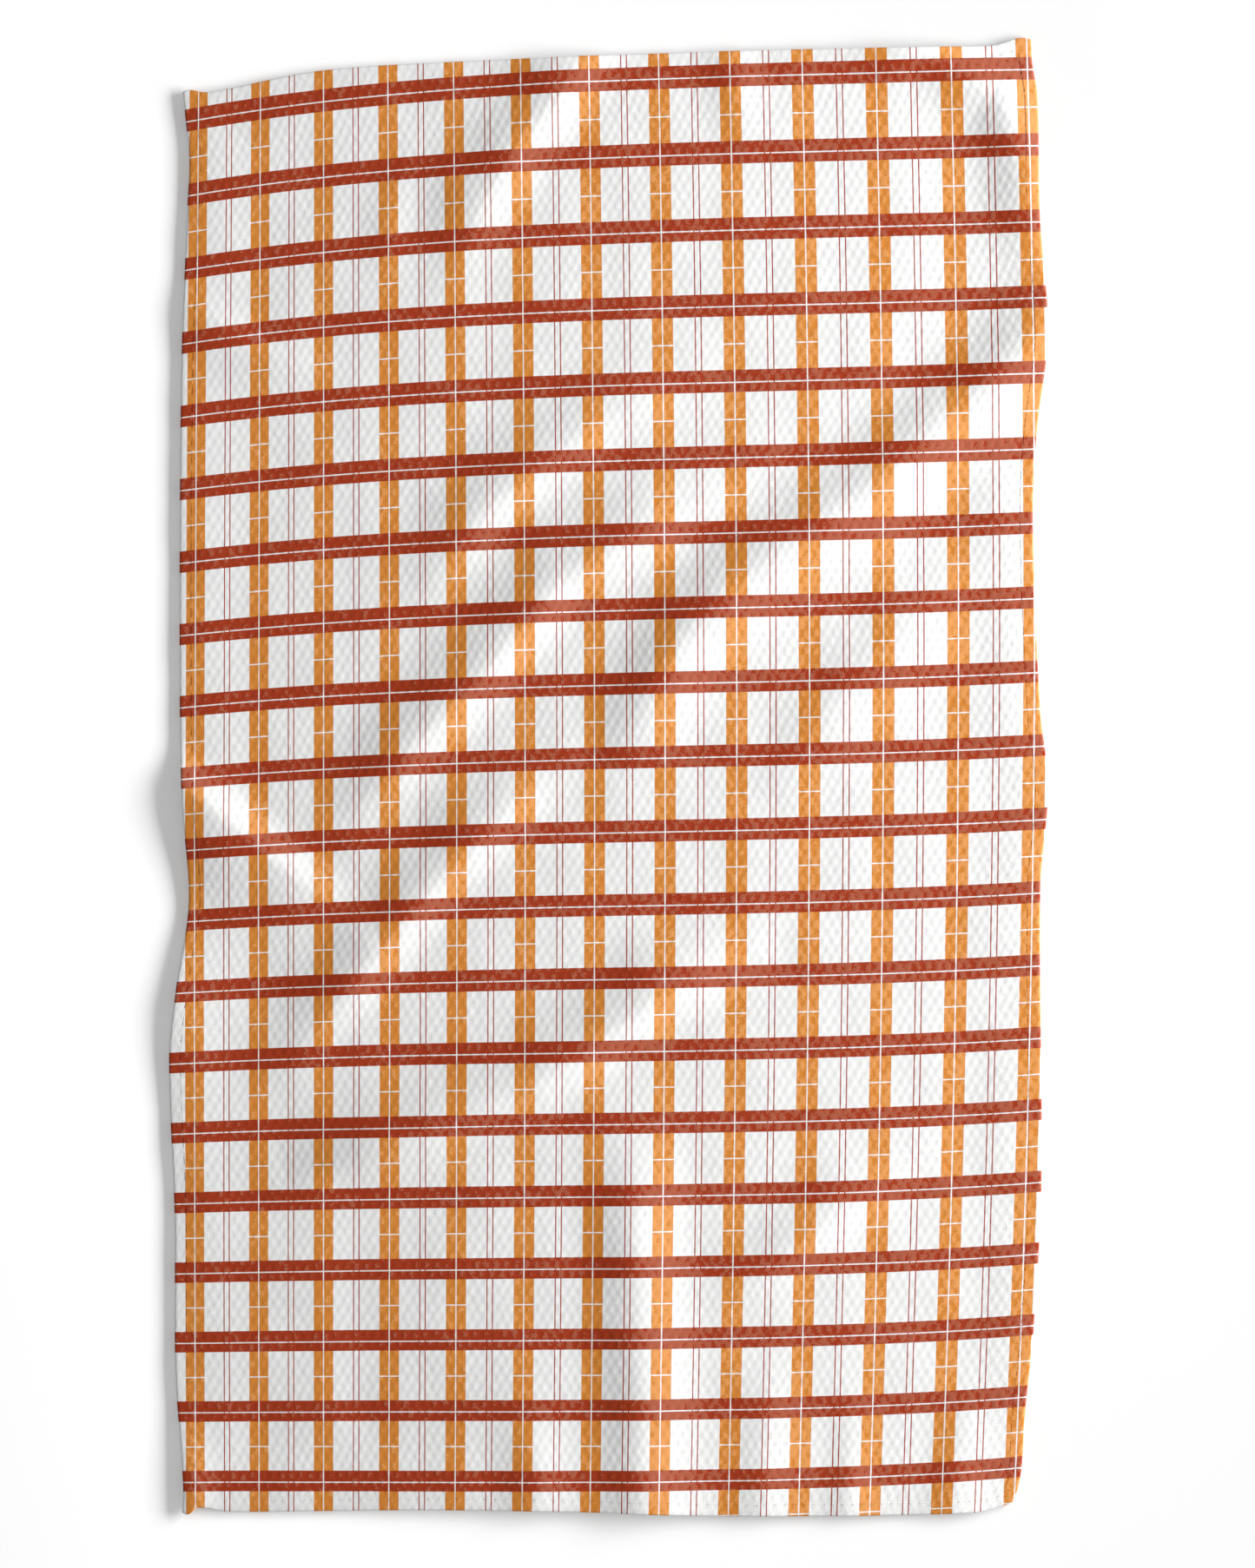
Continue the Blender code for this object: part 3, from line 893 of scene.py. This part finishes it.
def floor_material():
    """Matt white that glows faintly, and reflects less towards the key light."""
    made, nodes, shader = new_material("floor_white", roughness=0.9, specular=0.2)
    turn = math.radians(KEY_AZIMUTH)
    towards_key = nodes.add("ShaderNodeVectorMath", nodes.place(), operation="DOT_PRODUCT")
    towards_key.inputs[1].default_value = (math.cos(turn), math.sin(turn), 0.0)
    near = nodes.remap(towards_key.outputs["Value"], -FLOOR_SPAN, FLOOR_SPAN, kind="LINEAR")
    nodes.give(shader.inputs["Base Color"], nodes.mix(near, FLOOR_FAR, FLOOR_NEAR))
    shader.inputs["Emission Color"].default_value = (1.0, 1.0, 1.0, 1.0)
    shader.inputs["Emission Strength"].default_value = FLOOR_GLOW
    return made


def build_towel():
    """Every piece, each in the place of the CAD node that it stands for."""
    printed, plain = printed_cloth(), plain_cloth("plain_cloth")
    hem_plain = plain_cloth("hem_cloth")
    needle, bobbin = printed_thread(), white_thread()
    cloth = make_cloth(printed, plain)
    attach(cloth, "towel")
    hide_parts("cloth_panel")
    for side in ("left", "right", "bottom", "top"):
        hem = make_hem(side, hem_plain)
        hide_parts(f"hem_{side}")
        on_face = make_stitches(side, True, needle)
        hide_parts(f"needle_thread_{side}")
        on_back = make_stitches(side, False, bobbin)
        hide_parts(f"bobbin_thread_{side}")
        for piece in (hem, on_face, on_back):
            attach(piece, "towel")
    label = make_label(label_satin())
    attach(label, "label")
    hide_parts("care_label")


def add_floor():
    mesh = bpy.data.meshes.new("floor")
    corners = [(x * FLOOR_HALF, y * FLOOR_HALF, 0) for x, y in ((-1, -1), (1, -1), (1, 1), (-1, 1))]
    mesh.from_pydata(corners, [], [(0, 1, 2, 3)])
    mesh.materials.append(floor_material())
    floor = bpy.data.objects.new("floor", mesh)
    floor.location.z = -FLOOR_GAP
    bpy.context.scene.collection.objects.link(floor)


def add_key_light():
    """A wide, low softbox on the towel's right."""
    lamp = bpy.data.lights.new("key", "AREA")
    lamp.shape = "RECTANGLE"
    lamp.size = KEY_WIDTH
    lamp.size_y = KEY_HEIGHT
    lamp.energy = KEY_POWER
    light = bpy.data.objects.new("key", lamp)
    turn, lift = math.radians(KEY_AZIMUTH), math.radians(KEY_ELEVATION)
    way = Vector((math.cos(turn) * math.cos(lift), math.sin(turn) * math.cos(lift), math.sin(lift)))
    light.location = way * KEY_DISTANCE
    light.rotation_euler = way.to_track_quat("Z", "Y").to_euler()
    bpy.context.scene.collection.objects.link(light)


def add_world():
    world = bpy.data.worlds.new("studio")
    world.use_nodes = True
    background = world.node_tree.nodes["Background"]
    background.inputs["Color"].default_value = (1.0, 1.0, 1.0, 1.0)
    background.inputs["Strength"].default_value = WORLD_STRENGTH
    bpy.context.scene.world = world


def add_camera():
    lens = bpy.data.cameras.new("camera")
    lens.sensor_width = SENSOR
    lens.lens = SENSOR * CAMERA_HEIGHT / VIEW_LENGTH
    lens.clip_end = VIEW_END
    camera = bpy.data.objects.new("camera", lens)
    camera.location = (*CAMERA_AIM, CAMERA_HEIGHT)
    bpy.context.scene.collection.objects.link(camera)
    bpy.context.scene.camera = camera


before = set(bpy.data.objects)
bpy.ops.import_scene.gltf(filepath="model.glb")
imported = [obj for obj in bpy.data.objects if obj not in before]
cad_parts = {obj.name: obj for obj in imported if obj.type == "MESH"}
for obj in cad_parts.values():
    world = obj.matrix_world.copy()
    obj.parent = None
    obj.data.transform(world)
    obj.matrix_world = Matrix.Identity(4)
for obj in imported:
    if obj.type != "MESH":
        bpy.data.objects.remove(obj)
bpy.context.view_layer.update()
build_towel()
add_floor()
add_world()
add_key_light()
add_camera()
bpy.context.scene.view_settings.view_transform = "Standard"
